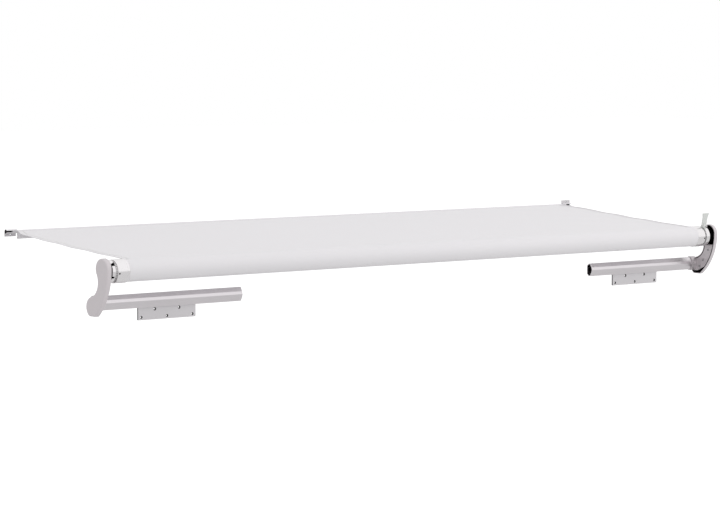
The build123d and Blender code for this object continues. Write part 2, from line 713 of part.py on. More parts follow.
def arm_plate():
    """The plate backs the bar's socket and stops short of the sole, where the casting shows."""
    inner = offset(arm_outline(), -ARM_WALL - 2 * ARM_FIT - CORE_WALL)
    far = AXIS_Z
    corner, tip = bar_from_axis(PLATE_LOW_CORNER_FROM_BAR), bar_from_axis(PLATE_LOW_TIP_FROM_BAR)
    keep = [(far, PLATE_TOP), (-far, PLATE_TOP), (-far, tip[1]), tip, corner, (far, corner[1])]
    plate = prism(X_CORE, X_CORE + PLATE_THICK, inner & make_face(Polyline(*keep, close=True)))
    for y, z in post_places():
        plate -= rod(X_CORE, X_CORE + PLATE_THICK, ARM_SCREW_RADIUS, AXIS_Y + y, AXIS_Z + z)
    return plate


def arm_screws():
    screws = []
    for y, z in post_places():
        head = rod(X_CORE - ARM_SCREW_HEAD_THICK, X_CORE, ARM_SCREW_HEAD, AXIS_Y + y, AXIS_Z + z)
        rim = head.edges().filter_by(GeomType.CIRCLE).sort_by(Axis.X)[0]
        head = fillet(rim, ARM_SCREW_HEAD_THICK / 2)
        shank = rod(X_CORE, X_WEB, ARM_SCREW_RADIUS, AXIS_Y + y, AXIS_Z + z)
        screws.append(head + shank)
    return screws


# Support bars, sockets and plates


def bar_outline():
    """A tall tube with a flat back, chamfered corners and a low ridge along its front."""
    front = -BAR_DEPTH / 2
    back = BAR_DEPTH / 2
    top = BAR_HALF_HEIGHT
    upper = [
        (front, 0),
        (front + BAR_RIDGE, BAR_SHOULDER),
        (front + BAR_TOP_FRONT, top),
        (back - BAR_BACK_CHAMFER, top),
        (back, top - BAR_BACK_CHAMFER),
    ]
    lower = [(y, -z) for y, z in reversed(upper[1:])]
    return make_face(Polyline(*upper, *lower, close=True))


def support_bar(inner_end):
    section = bar_outline() - offset(bar_outline(), -BAR_WALL)
    bar = prism(inner_end, X_CORE, section, BAR_Y, BAR_Z)
    for x in screw_line():
        bar -= plate_screw_place(x) * Cylinder(PLATE_SCREW_RADIUS, 2 * BAR_FACE_GAP + 2 * BAR_WALL)
    for place in set_screw_places():
        bar -= place * Cylinder(SET_SCREW_RADIUS, 4 * BAR_WALL)
    return bar


def bar_socket():
    outer = offset(bar_outline(), SOCKET_CLEAR + SOCKET_WALL, kind=Kind.INTERSECTION)
    inner = offset(bar_outline(), SOCKET_CLEAR, kind=Kind.INTERSECTION)
    socket = prism(X_CORE - SOCKET_LENGTH, X_CORE, outer - inner, BAR_Y, BAR_Z)
    for place in set_screw_places():
        socket -= place * Cylinder(SET_SCREW_RADIUS, 8 * SOCKET_WALL)
    return socket


def set_screw_places():
    """Under the socket: local Z points down, from the bar's lower skin."""
    x = X_CORE - SOCKET_LENGTH / 2
    z = BAR_Z - BAR_HALF_HEIGHT
    return [Pos(x + s * SET_SCREW_SPREAD / 2, BAR_Y, z) * Rot(180, 0, 0) for s in (-1, 1)]


def bar_set_screws():
    length = BAR_WALL + SOCKET_CLEAR + SOCKET_WALL + SET_SCREW_PROUD
    screws = []
    for place in set_screw_places():
        body = Pos(0, 0, length / 2 - BAR_WALL) * Cylinder(SET_SCREW_RADIUS, length)
        hexagon = extrude(RegularPolygon(SET_SCREW_RADIUS / 2, 6), SET_SCREW_PROUD, both=True)
        key_hole = Pos(0, 0, length - BAR_WALL) * hexagon
        screws.append(place * (body - key_hole))
    return screws


def screw_line():
    """Where the screws go through the mounting plate into the bar."""
    return [MOUNT_CENTRE + n * PLATE_SCREW_SPREAD for n in (-1, 0, 1)]


def plate_screw_place(x):
    """On the plate's back face: local Z points into the bar."""
    return Pos(x, 0, BAR_Z) * Rot(90, 0, 0)


def mounting_plate():
    low = -MOUNT_BELOW_HOLES
    high = BAR_Z + MOUNT_ABOVE_BAR_AXIS
    plate = Box(MOUNT_LENGTH, BAR_FACE_GAP, high - low, align=(Align.CENTER, Align.MAX, Align.MIN))
    plate = fillet(plate.edges().filter_by(Axis.Y), MOUNT_CORNER_ROUND)
    plate = Pos(MOUNT_CENTRE, 0, low) * plate
    for s in (-1, 0, 1):
        plate -= mount_hole(MOUNT_CENTRE + s * MOUNT_OUTER_SPREAD / 2, 0, MOUNT_LOWER_SINK)
    for s in (-1, 1):
        plate -= mount_hole(MOUNT_CENTRE + s * MOUNT_UPPER_SPREAD / 2, MOUNT_UPPER_RISE, MOUNT_UPPER_SINK)
    for x in screw_line():
        plate -= plate_screw_shape(x)
    return plate


def mount_hole(x, z, sink):
    """A hole through the plate, countersunk in its front face: local Z points out of that face."""
    depth = sink - MOUNT_HOLE_RADIUS
    hole = Pos(0, 0, -BAR_FACE_GAP / 2) * Cylinder(MOUNT_HOLE_RADIUS, BAR_FACE_GAP)
    cone = Pos(0, 0, -depth / 2) * Cone(MOUNT_HOLE_RADIUS, sink, depth)
    return Pos(x, -BAR_FACE_GAP, z) * Rot(90, 0, 0) * (hole + cone)


def plate_screw_shape(x):
    """A countersunk screw, flush with the plate's back."""
    sink = PLATE_SCREW_HEAD - PLATE_SCREW_RADIUS
    head = Pos(0, 0, sink / 2) * Cone(PLATE_SCREW_HEAD, PLATE_SCREW_RADIUS, sink)
    shank = Pos(0, 0, PLATE_SCREW_LENGTH / 2) * Cylinder(PLATE_SCREW_RADIUS, PLATE_SCREW_LENGTH)
    return plate_screw_place(x) * (head + shank)


def plate_screws():
    return [plate_screw_shape(x) for x in screw_line()]


def spring_gap():
    """Least clear gap between neighbouring turns of the spring, measured on points of its centre line."""
    start, end = spring_span()
    pitch = (end - start) / SPRING_TURNS
    steps = 48
    points = []
    for n in range(3 * steps + 1):
        a = 2 * pi * n / steps
        points.append((pitch * n / steps, SPRING_RADIUS * cos(a), SPRING_RADIUS * sin(a)))
    gaps = []
    for i, p in enumerate(points):
        for q in points[i + steps // 2:]:
            gaps.append(hypot(p[0] - q[0], p[1] - q[1], p[2] - q[2]) - 2 * SPRING_WIRE)
    return min(gaps)


def pieces():
    """Every piece by its node name."""
    both = {
        "arm_cover": arm_cover(),
        "arm_core": arm_core(),
        "arm_plate": arm_plate(),
        "arm_screws": arm_screws(),
        "bar_socket": bar_socket(),
        "bar_set_screws": bar_set_screws(),
        "mounting_plate": mounting_plate(),
        "plate_screws": plate_screws(),
        "shaft": shaft(),
        "shaft_pin": shaft_pin(),
        "bearing_bush": bearing_bush(),
        "torsion_spring": torsion_spring(),
        "spring_anchor": spring_anchor(),
    }
    out = {}
    for name, part in both.items():
        group = part if isinstance(part, list) else [part]
        out["right_" + name] = group
        out["left_" + name] = [left_of(p) for p in group]
    out["left_support_bar"] = [left_of(support_bar(LEFT_BAR_INNER))]
    out["right_support_bar"] = [support_bar(RIGHT_BAR_INNER)]
    out["left_end_cap"] = [left_of(end_cap(LEFT_CAP_LENGTH, LEFT_RATCHET_LENGTH))]
    out["right_end_cap"] = [end_cap(RIGHT_CAP_LENGTH, RIGHT_RATCHET_LENGTH)]
    out["left_end_cap_screws"] = [left_of(screw) for screw in end_cap_screws(LEFT_CAP_LENGTH)]
    out["right_end_cap_screws"] = end_cap_screws(RIGHT_CAP_LENGTH)
    out["left_hub"] = [left_hub()]
    out["right_hub"] = [right_hub()]
    out["lock_lever"] = [lock_lever()]
    out["lock_lever_pin"] = [lock_lever_pin()]
    out["roller_tube"] = [roller_tube()]
    out["roller_rope"] = [roller_rope()]
    out["fabric_wound"] = [fabric_wound()]
    out["fabric_sheet"] = [fabric_sheet()]
    out["hem_bead"] = [hem_bead()]
    out["hem_strip"] = [hem_strip()]
    out["left_rail_stop"] = [rail_stop(-1)]
    out["right_rail_stop"] = [rail_stop(1)]
    return out


def solids_of(group):
    found = []
    for part in group:
        found.extend(part.solids())
    return found


os.makedirs("parts", exist_ok=True)
for node, group in pieces().items():
    solids = solids_of(group)
    whole = solids[0] if len(solids) == 1 else Compound(children=solids)
    export_step(whole, f"parts/{node}.step")
print("least gap between the spring's turns", round(spring_gap(), 2), "mm")
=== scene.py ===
# %% [markdown]
# A slide topper awning keeps rain off the roof of a slide-out room.
# The imported model comes first, because every piece made below sits on it or rides with it.
# Its box is measured now, so that the finished object's box can be printed beside it at the end.

import json
import math

import bmesh
import bpy
from mathutils import Matrix, Vector


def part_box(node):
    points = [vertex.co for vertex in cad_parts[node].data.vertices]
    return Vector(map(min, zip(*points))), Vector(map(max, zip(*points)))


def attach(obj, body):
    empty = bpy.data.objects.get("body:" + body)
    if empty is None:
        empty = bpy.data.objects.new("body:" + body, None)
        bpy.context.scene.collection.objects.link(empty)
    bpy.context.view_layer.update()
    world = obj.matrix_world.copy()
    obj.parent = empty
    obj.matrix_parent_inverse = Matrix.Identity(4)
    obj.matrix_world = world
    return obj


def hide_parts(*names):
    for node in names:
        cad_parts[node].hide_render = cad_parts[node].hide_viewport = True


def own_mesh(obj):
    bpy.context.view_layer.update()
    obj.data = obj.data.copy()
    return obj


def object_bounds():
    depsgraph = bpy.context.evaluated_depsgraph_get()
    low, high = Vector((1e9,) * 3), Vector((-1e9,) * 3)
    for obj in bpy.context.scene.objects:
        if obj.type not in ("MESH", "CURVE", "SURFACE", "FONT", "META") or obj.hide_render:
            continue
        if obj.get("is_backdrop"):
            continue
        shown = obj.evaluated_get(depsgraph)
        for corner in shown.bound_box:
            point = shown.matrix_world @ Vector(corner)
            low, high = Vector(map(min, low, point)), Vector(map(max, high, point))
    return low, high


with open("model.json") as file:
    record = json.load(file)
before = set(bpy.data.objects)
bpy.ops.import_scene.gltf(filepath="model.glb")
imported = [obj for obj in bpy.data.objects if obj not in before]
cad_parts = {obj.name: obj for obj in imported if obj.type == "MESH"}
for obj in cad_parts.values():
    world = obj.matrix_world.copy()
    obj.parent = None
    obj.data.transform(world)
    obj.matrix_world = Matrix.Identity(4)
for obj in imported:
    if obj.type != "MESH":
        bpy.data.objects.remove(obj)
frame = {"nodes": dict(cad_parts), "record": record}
cad_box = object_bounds()
nodes = frame["nodes"]

# %% [markdown]
# The photograph was taken from the front left, a little above the roller, with a long lens.
# Its place was solved from edges of the roller, bars and fabric. The edges don't fix the azimuth sharply:
# 38 and 42 degrees left errors of 11.3 and 10.4 units, 34 left 13.9 and 30 left 18.9. It is an estimate.
# The roller was moved 25 mm in the part after that fit, and the camera wasn't solved again.

# %% Camera
AZIMUTH = math.radians(38.924)
DOWN = math.radians(4.333)
FOCAL_PIXELS = 2815.727
FRAME_WIDTH = 720
SENSOR_WIDTH = 36
CAMERA_PLACE = (-5.2301, -6.2195, 0.7236)

camera = bpy.data.objects.new("camera", bpy.data.cameras.new("camera"))
bpy.context.scene.collection.objects.link(camera)
bpy.context.scene.camera = camera
camera.data.sensor_width = SENSOR_WIDTH
camera.data.lens = FOCAL_PIXELS / FRAME_WIDTH * SENSOR_WIDTH
camera.data.clip_end = 100
camera.location = CAMERA_PLACE
looking = Vector((math.sin(AZIMUTH) * math.cos(DOWN), math.cos(AZIMUTH) * math.cos(DOWN), -math.sin(DOWN)))
camera.rotation_mode = "QUATERNION"
camera.rotation_quaternion = looking.to_track_quat("-Z", "Y")
print("camera lens", round(camera.data.lens, 1), "mm")

# %% [markdown]
# Finishes share a few effects: grain in moulded and cast parts, draw lines on extrusions, turning marks
# round the caps, the weave of the cloth and a slow change of tone that no real surface is without.
# Each is one node group, made once. A material picks the ones it shows and says how strongly.

# %% A helper that starts a node group
def start_group(name, inputs, outputs):
    group = bpy.data.node_groups.new(name, "ShaderNodeTree")
    for label, kind, value in inputs:
        socket = group.interface.new_socket(label, in_out="INPUT", socket_type=kind)
        if value is not None:
            socket.default_value = value
    for label, kind in outputs:
        group.interface.new_socket(label, in_out="OUTPUT", socket_type=kind)
    return group, group.nodes.new("NodeGroupInput"), group.nodes.new("NodeGroupOutput")


def math_node(tree, operation, a, b=None):
    node = tree.nodes.new("ShaderNodeMath")
    node.operation = operation
    for socket, value in zip(node.inputs, (a, b)):
        if isinstance(value, bpy.types.NodeSocket):
            tree.links.new(value, socket)
        elif value is not None:
            socket.default_value = value
    return node.outputs[0]


def distance(tree, a, at_a, b, at_b):
    """How far a point is from a line, by its two coordinates across that line."""
    squares = []
    for socket, value in ((a, at_a), (b, at_b)):
        gap = math_node(tree, "SUBTRACT", socket, value)
        squares.append(math_node(tree, "MULTIPLY", gap, gap))
    return math_node(tree, "SQRT", math_node(tree, "ADD", *squares))


def strongest(tree, values):
    out = values[0]
    for value in values[1:]:
        out = math_node(tree, "MAXIMUM", out, value)
    return out


# %% Grain: fine height and a slow drift of tone
def make_grain():
    group, come, go = start_group(
        "surface grain",
        [
            ("Vector", "NodeSocketVector", None),
            ("Scale", "NodeSocketFloat", 900.0),
            ("Drift", "NodeSocketFloat", 6.0),
        ],
        [("Height", "NodeSocketFloat"), ("Tone", "NodeSocketFloat")],
    )
    fine = group.nodes.new("ShaderNodeTexNoise")
    fine.inputs["Detail"].default_value = 3
    slow = group.nodes.new("ShaderNodeTexNoise")
    slow.inputs["Detail"].default_value = 4
    for noise, scale in ((fine, "Scale"), (slow, "Drift")):
        group.links.new(come.outputs["Vector"], noise.inputs["Vector"])
        group.links.new(come.outputs[scale], noise.inputs["Scale"])
    group.links.new(fine.outputs["Fac"], go.inputs["Height"])
    group.links.new(slow.outputs["Fac"], go.inputs["Tone"])
    return group


# %% Lines: noise drawn out along the roller, as a die leaves on an extrusion
LINE_STRETCH = (0.004, 1.0, 1.0)


def make_lines():
    group, come, go = start_group(
        "drawn lines",
        [("Vector", "NodeSocketVector", None), ("Fineness", "NodeSocketFloat", 1500.0)],
        [("Height", "NodeSocketFloat")],
    )
    stretch = group.nodes.new("ShaderNodeVectorMath")
    stretch.operation = "MULTIPLY"
    stretch.inputs[1].default_value = LINE_STRETCH
    noise = group.nodes.new("ShaderNodeTexNoise")
    noise.inputs["Detail"].default_value = 2
    group.links.new(come.outputs["Vector"], stretch.inputs[0])
    group.links.new(stretch.outputs[0], noise.inputs["Vector"])
    group.links.new(come.outputs["Fineness"], noise.inputs["Scale"])
    group.links.new(noise.outputs["Fac"], go.inputs["Height"])
    return group


# %% Turning marks: noise that depends only on the place along the axis and the distance from it
def make_turning(axis_y, axis_z):
    group, come, go = start_group(
        "turning marks",
        [("Vector", "NodeSocketVector", None), ("Fineness", "NodeSocketFloat", 1800.0)],
        [("Height", "NodeSocketFloat")],
    )
    split = group.nodes.new("ShaderNodeSeparateXYZ")
    join = group.nodes.new("ShaderNodeCombineXYZ")
    group.links.new(come.outputs["Vector"], split.inputs[0])
    radius = distance(group, split.outputs["Y"], axis_y, split.outputs["Z"], axis_z)
    noise = group.nodes.new("ShaderNodeTexNoise")
    noise.inputs["Detail"].default_value = 2
    group.links.new(split.outputs["X"], join.inputs["X"])
    group.links.new(radius, join.inputs["Y"])
    group.links.new(join.outputs[0], noise.inputs["Vector"])
    group.links.new(come.outputs["Fineness"], noise.inputs["Scale"])
    group.links.new(noise.outputs["Fac"], go.inputs["Height"])
    return group


# %% Weave: warp and weft as two crossed waves
def make_weave():
    group, come, go = start_group(
        "cloth weave",
        [("Vector", "NodeSocketVector", None), ("Threads per metre", "NodeSocketFloat", 1400.0)],
        [("Height", "NodeSocketFloat")],
    )
    split = group.nodes.new("ShaderNodeSeparateXYZ")
    group.links.new(come.outputs["Vector"], split.inputs[0])
    waves = []
    for axis in ("X", "Y"):
        threads = math_node(group, "MULTIPLY", split.outputs[axis], come.outputs["Threads per metre"])
        angle = math_node(group, "MULTIPLY", threads, math.pi)
        waves.append(math_node(group, "ABSOLUTE", math_node(group, "SINE", angle)))
    group.links.new(math_node(group, "MAXIMUM", *waves), go.inputs["Height"])
    return group


# %% [markdown]
# Drilled holes, cut ends and the channels of the rail stops are painted dark: grease, and the painted
# shadow that their depth holds. They are small on a long object, so each is a mask found from its place: a
# disc for a hole, a thin slice for a cut end and a rod for a channel. The left half folds onto the right,
# and the mounts in the record give the places.

# %% Measures that the masks need: how far each reaches, and how dark it gets from 0 to 1
PLATE_HOLE_REACH = 0.0038
UPPER_HOLE_REACH, UPPER_HOLE_DARK = 0.0045, 0.82
STOP_HOLE_REACH = 0.0026
CHANNEL_REACH = 0.0043
CUT_REACH, CUT_DARK = 0.0004, 0.8

tube_low, tube_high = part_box("roller_tube")
AXIS_Y = (tube_low.y + tube_high.y) / 2
AXIS_Z = (tube_low.z + tube_high.z) / 2
MOUNTS = {m["name"]: m for m in frame["record"]["mounts"]}
middle_x = MOUNTS["right_plate_middle_hole"]["pos_m"][0]
HOLE_PLACES = [(middle_x, 0.0, PLATE_HOLE_REACH, 1.0)]
for name, reach, dark in (("outer", PLATE_HOLE_REACH, 1.0), ("upper", UPPER_HOLE_REACH, UPPER_HOLE_DARK)):
    mount = MOUNTS[f"right_plate_{name}_holes"]
    half_spacing = mount["dims"]["spacing_x_mm"] / 2 / 1000
    for side in (-1, 1):
        HOLE_PLACES.append((middle_x + side * half_spacing, mount["pos_m"][2], reach, dark))
for side in ("left", "right"):
    x, y, z = MOUNTS[f"{side}_stop_hole"]["pos_m"]
    HOLE_PLACES.append((abs(x), z, STOP_HOLE_REACH, 1.0))
plate_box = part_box("right_mounting_plate")
stop_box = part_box("right_rail_stop")
channel_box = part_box("hem_bead")
CUT_ENDS = [plate_box[0].x, plate_box[1].x, stop_box[1].x]
CHANNEL_Y = (channel_box[0].y + channel_box[1].y) / 2
CHANNEL_Z = (channel_box[0].z + channel_box[1].z) / 2
print("dark holes:", len(HOLE_PLACES), "cut ends:", len(CUT_ENDS))


# %% Dark places of plates and stops: grease and painted shadow
def make_dark_places():
    group, come, go = start_group(
        "dark places", [("Vector", "NodeSocketVector", None)], [("Dark", "NodeSocketFloat")]
    )
    split = group.nodes.new("ShaderNodeSeparateXYZ")
    group.links.new(come.outputs["Vector"], split.inputs[0])
    across = math_node(group, "ABSOLUTE", split.outputs["X"])
    found = []
    for x, z, reach, dark in HOLE_PLACES:
        inside = math_node(group, "LESS_THAN", distance(group, across, x, split.outputs["Z"], z), reach)
        found.append(math_node(group, "MULTIPLY", inside, dark))
    for x in CUT_ENDS:
        gap = math_node(group, "ABSOLUTE", math_node(group, "SUBTRACT", across, x))
        found.append(math_node(group, "MULTIPLY", math_node(group, "LESS_THAN", gap, CUT_REACH), CUT_DARK))
    from_channel = distance(group, split.outputs["Y"], CHANNEL_Y, split.outputs["Z"], CHANNEL_Z)
    found.append(math_node(group, "LESS_THAN", from_channel, CHANNEL_REACH))
    group.links.new(strongest(group, found), go.inputs["Dark"])
    return group


# %% [markdown]
# Where a turned part is cut back, in the cap's groove, on the toothed ring and in its notches, it is
# painted darker:
# grease, and painted shade of the recess. How far a point is from the roller's axis tells how deep it lies,
# so one smooth mask does it.

# %% Recesses of the caps and hubs: grease and painted shade
# the painted shade leaves the toothed ring only grey, while the inside of a hub, just under its skin, is
# painted black
SKIN = 0.0001
CAP_BLACK_AT, HUB_BLACK_AT = 0.0085, 0.0023
HUB_MARGIN = 0.0002


def make_recesses():
    group, come, go = start_group(
        "recesses", [("Vector", "NodeSocketVector", None)], [("Dark", "NodeSocketFloat")]
    )
    split = group.nodes.new("ShaderNodeSeparateXYZ")
    group.links.new(come.outputs["Vector"], split.inputs[0])
    radius = distance(group, split.outputs["Y"], AXIS_Y, split.outputs["Z"], AXIS_Z)
    on_left = math_node(group, "LESS_THAN", split.outputs["X"], LEFT_HUB_START)
    on_right = math_node(group, "GREATER_THAN", split.outputs["X"], RIGHT_HUB_START)
    on_hub = math_node(group, "MAXIMUM", on_left, on_right)
    less = math_node(group, "MULTIPLY", on_hub, CAP_RADIUS - HUB_RADIUS)
    full = math_node(group, "SUBTRACT", CAP_RADIUS, less)
    depth = math_node(group, "SUBTRACT", full, radius)
    soft = group.nodes.new("ShaderNodeMapRange")
    soft.interpolation_type = "SMOOTHSTEP"
    soft.inputs["From Min"].default_value = SKIN
    nearer = math_node(group, "MULTIPLY", on_hub, CAP_BLACK_AT - HUB_BLACK_AT)
    group.links.new(math_node(group, "SUBTRACT", CAP_BLACK_AT, nearer), soft.inputs["From Max"])
    group.links.new(depth, soft.inputs["Value"])
    group.links.new(soft.outputs["Result"], go.inputs["Dark"])
    return group


# %% Make the groups
cap_box, hub_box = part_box("right_end_cap"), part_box("left_hub")
CAP_RADIUS = (cap_box[1].y - cap_box[0].y) / 2
HUB_RADIUS = (hub_box[1].y - hub_box[0].y) / 2
LEFT_HUB_START = hub_box[1].x + HUB_MARGIN
RIGHT_HUB_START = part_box("right_hub")[0].x - HUB_MARGIN
DARK_PLACES = make_dark_places()
RECESSES = make_recesses()
print("cap radius", round(CAP_RADIUS, 4), "hub radius", round(HUB_RADIUS, 4))
print("hubs start at", round(LEFT_HUB_START, 4), round(RIGHT_HUB_START, 4))
GRAIN = make_grain()
LINES = make_lines()
TURNING = make_turning(AXIS_Y, AXIS_Z)
WEAVE = make_weave()
print("effects:", [g.name for g in (GRAIN, LINES, TURNING, WEAVE)])


# %% [markdown]
# A finish is a Principled shader with three things from the groups: a base colour that drifts a little,
# a roughness that follows it, and a bump. Round some bright parts the colour also falls where the surface
# turns away from the eye: painted shade that draws a thin dark outline.

# %% A helper that makes a finish
# grease and painted shade: the colour that the masks of holes, cut ends, channels and recesses mix in
GREASE_AND_SHADE = (0.022, 0.02, 0.02, 1)
# how dark and how narrow the painted shade at a rim is
EDGE_SHADE_COLOUR, EDGE_SHADE_NARROW = 0.2, 5
ROUGH_LEAST, ROUGH_MOST = 0.85, 1.15


def finish(name, colour, roughness, effect, metallic=0.0, drift=0.05,
           bump=0.2, bump_size=0.00005, shade=None, edge=0.0):
    material = bpy.data.materials.new(name)
    material.use_nodes = True
    tree = material.node_tree
    shader = tree.nodes["Principled BSDF"]
    shader.inputs["Metallic"].default_value = metallic
    place = tree.nodes.new("ShaderNodeTexCoord").outputs["Object"]
    grain = tree.nodes.new("ShaderNodeGroup")
    grain.node_tree = GRAIN
    tree.links.new(place, grain.inputs["Vector"])
    pattern = tree.nodes.new("ShaderNodeGroup")
    pattern.node_tree = effect
    tree.links.new(place, pattern.inputs["Vector"])

    tone = tree.nodes.new("ShaderNodeMix")
    tone.data_type = "RGBA"
    tone.inputs["A"].default_value = (*[c * (1 - drift) for c in colour], 1)
    tone.inputs["B"].default_value = (*[min(1, c * (1 + drift)) for c in colour], 1)
    tree.links.new(grain.outputs["Tone"], tone.inputs["Factor"])
    colour_out = tone.outputs["Result"]
    if shade:
        mask = tree.nodes.new("ShaderNodeGroup")
        mask.node_tree = shade
        tree.links.new(place, mask.inputs["Vector"])
        darker = tree.nodes.new("ShaderNodeMix")
        darker.data_type = "RGBA"
        darker.inputs["B"].default_value = GREASE_AND_SHADE
        tree.links.new(mask.outputs["Dark"], darker.inputs["Factor"])
        tree.links.new(colour_out, darker.inputs["A"])
        colour_out = darker.outputs["Result"]
    # painted shade: the colour darkens where the surface turns away from the eye, a dark rim standing in
    # for reflected unlit surroundings
    if edge:
        facing = tree.nodes.new("ShaderNodeLayerWeight").outputs["Facing"]
        painted_edge_shade = tree.nodes.new("ShaderNodeMix")
        painted_edge_shade.data_type = "RGBA"
        painted_edge_shade.inputs["B"].default_value = (*[c * EDGE_SHADE_COLOUR for c in colour], 1)
        factor = math_node(tree, "MULTIPLY", math_node(tree, "POWER", facing, EDGE_SHADE_NARROW), edge)
        tree.links.new(factor, painted_edge_shade.inputs["Factor"])
        tree.links.new(colour_out, painted_edge_shade.inputs["A"])
        colour_out = painted_edge_shade.outputs["Result"]
    tree.links.new(colour_out, shader.inputs["Base Color"])

    spread = tree.nodes.new("ShaderNodeMapRange")
    spread.inputs["To Min"].default_value = roughness * ROUGH_LEAST
    spread.inputs["To Max"].default_value = roughness * ROUGH_MOST
    tree.links.new(grain.outputs["Tone"], spread.inputs["Value"])
    tree.links.new(spread.outputs["Result"], shader.inputs["Roughness"])

    raised = tree.nodes.new("ShaderNodeBump")
    raised.inputs["Strength"].default_value = bump
    raised.inputs["Distance"].default_value = bump_size
    tree.links.new(pattern.outputs["Height"], raised.inputs["Height"])
    tree.links.new(raised.outputs["Normal"], shader.inputs["Normal"])
    return material


# edge paints shade at the rims; shade paints grease and shade into the masked places
FINISHES = {
    "cover_plastic": finish("moulded arm cover", (0.625, 0.585, 0.605), 0.42, GRAIN, drift=0.03, edge=0.6),
    "black_casting": finish("black casting", (0.004, 0.0035, 0.004), 0.6, GRAIN,
                            metallic=0.9, drift=0.2, bump=0.5),
    "grey_steel": finish("galvanised steel", (0.67, 0.63, 0.65), 0.45, GRAIN, metallic=0.7, drift=0.12),
    "zinc_screws": finish("zinc screws", (0.42, 0.41, 0.42), 0.36, TURNING, metallic=0.9),
    "zinc_steel": finish("turned zinc steel", (0.5, 0.5, 0.5), 0.3, TURNING, metallic=1.0),
    "black_screws": finish("black screws", (0.006, 0.006, 0.006), 0.35, TURNING, metallic=1.0),
    "plate_aluminium": finish("rolled aluminium plate", (0.735, 0.715, 0.735), 0.38, LINES,
                              metallic=0.9, drift=0.06, shade=DARK_PLACES),
    "bar_aluminium": finish("extruded aluminium", (0.79, 0.757, 0.779), 0.3, LINES,
                            metallic=1.0, drift=0.06, edge=0.9),
    "bright_casting": finish("polished end casting", (0.87, 0.85, 0.86), 0.16, TURNING,
                             metallic=1.0, shade=RECESSES, edge=0.9),
    "bush_nylon": finish("nylon bush", (0.72, 0.7, 0.66), 0.4, GRAIN),
    "spring_steel": finish("oiled spring wire", (0.16, 0.16, 0.17), 0.3, LINES, metallic=1.0),
    "lever_plastic": finish("pale lever", (0.66, 0.68, 0.66), 0.3, GRAIN, drift=0.03),
    "rope": finish("braided rope", (0.7, 0.7, 0.67), 0.8, WEAVE, bump=0.6, bump_size=0.0003),
    "awning_fabric": finish("coated awning cloth", (0.76, 0.745, 0.765), 0.55, WEAVE,
                            drift=0.012, bump=0.25),
}
SLOT_OF = {part["node"]: part["material_slot"] for part in frame["record"]["subparts"]}
for name, node in nodes.items():
    node.data.materials.clear()
    node.data.materials.append(FINISHES[SLOT_OF[name]])
print("finishes:", len(FINISHES), "on", len(nodes), "nodes")

# %% [markdown]
# The sheet is one piece of coated cloth, pulled tight between the roller and the wall, so it sags only
# a few millimetres. A cloth simulation would add folds that a tight sheet doesn't have. A fine grid is
# bent along the CAD sheet's own curve instead, with faint ripples where the far corners pull.

# %% The curve that the sheet follows
sheet_low, sheet_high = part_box("fabric_sheet")
bead_low, bead_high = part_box("hem_bead")
HALF_WIDTH = sheet_high.x
Y_START, Y_END = sheet_low.y, sheet_high.y
Z_END = (bead_low.z + bead_high.z) / 2
WOUND_INNER, WOUND_OUTER = 0.0274, 0.0306
Z_START = AXIS_Z + WOUND_OUTER
SAG = 0.003
CLOTH = 0.0006
CORNER_IN, CORNER_BACK = 0.023, 0.060
RIPPLE_HEIGHT, RIPPLE_FROM = 0.0009, 0.55
RIPPLES_OUT, RIPPLES_ACROSS = 26, 17


def sheet_height(y):
    t = (y - Y_START) / (Y_END - Y_START)
    return Z_START + (Z_END - Z_START) * t - 4 * SAG * t * (1 - t)


def half_width_at(y):
    past = max(0.0, (y - (Y_END - CORNER_BACK)) / CORNER_BACK)
    return HALF_WIDTH - CORNER_IN * past


def ripple(x, y):
    """Faint pull lines that run from the far corners towards the roller and die out at both ends."""
    t = (y - Y_START) / (Y_END - Y_START)
    near_side = max(0.0, abs(x) / HALF_WIDTH - RIPPLE_FROM) / (1 - RIPPLE_FROM)
    wave = math.sin(RIPPLES_OUT * t + RIPPLES_ACROSS * abs(x))
    return RIPPLE_HEIGHT * wave * near_side * math.sin(math.pi * t)


# %% Pieces of cloth that lie on that curve
def to_object(bm, name, slot):
    mesh = bpy.data.meshes.new(name)
    bmesh.ops.recalc_face_normals(bm, faces=bm.faces)
    bm.to_mesh(mesh)
    bm.free()
    piece = bpy.data.objects.new(name, mesh)
    bpy.context.scene.collection.objects.link(piece)
    mesh.materials.append(FINISHES[slot])
    return piece


def shade_smooth(bm, is_smooth):
    """Smooth faces by a test; the edges they share with flat ones are sharp, so no normal leaks across."""
    bm.normal_update()
    for f in bm.faces:
        f.smooth = is_smooth(f)
    for e in bm.edges:
        e.smooth = all(f.smooth for f in e.link_faces)


def cloth_strip(name, x_cells, y_cells, x_of, lift, thick):
    """A grid over the sheet: x_of(share, y) gives where each column lies at that depth."""
    bm = bmesh.new()
    bmesh.ops.create_grid(bm, x_segments=x_cells, y_segments=y_cells, size=0.5)
    for v in bm.verts:
        y = Y_START + (v.co.y + 0.5) * (Y_END - Y_START)
        x = x_of(v.co.x + 0.5, y)
        v.co = Vector((x, y, sheet_height(y) + ripple(x, y) + lift))
    bmesh.ops.solidify(bm, geom=bm.faces[:], thickness=thick)
    shade_smooth(bm, lambda f: abs(f.normal.z) > 0.5)
    return to_object(bm, name, "awning_fabric")


CELLS_ACROSS, CELLS_OUT = 160, 48
sheet = cloth_strip(
    "awning_sheet", CELLS_ACROSS, CELLS_OUT, lambda s, y: (2 * s - 1) * half_width_at(y), 0.0, CLOTH
)
HEM, HEM_CELLS = 0.018, 6
side_hems = [
    cloth_strip(
        f"{word}_side_hem", HEM_CELLS, CELLS_OUT,
        lambda s, y, k=side: k * (half_width_at(y) - HEM * s), CLOTH, CLOTH / 2,
    )
    for side, word in ((-1, "left"), (1, "right"))
]
print("sheet", round(2 * HALF_WIDTH, 3), "m wide,", round(Y_END - Y_START, 3), "m out")

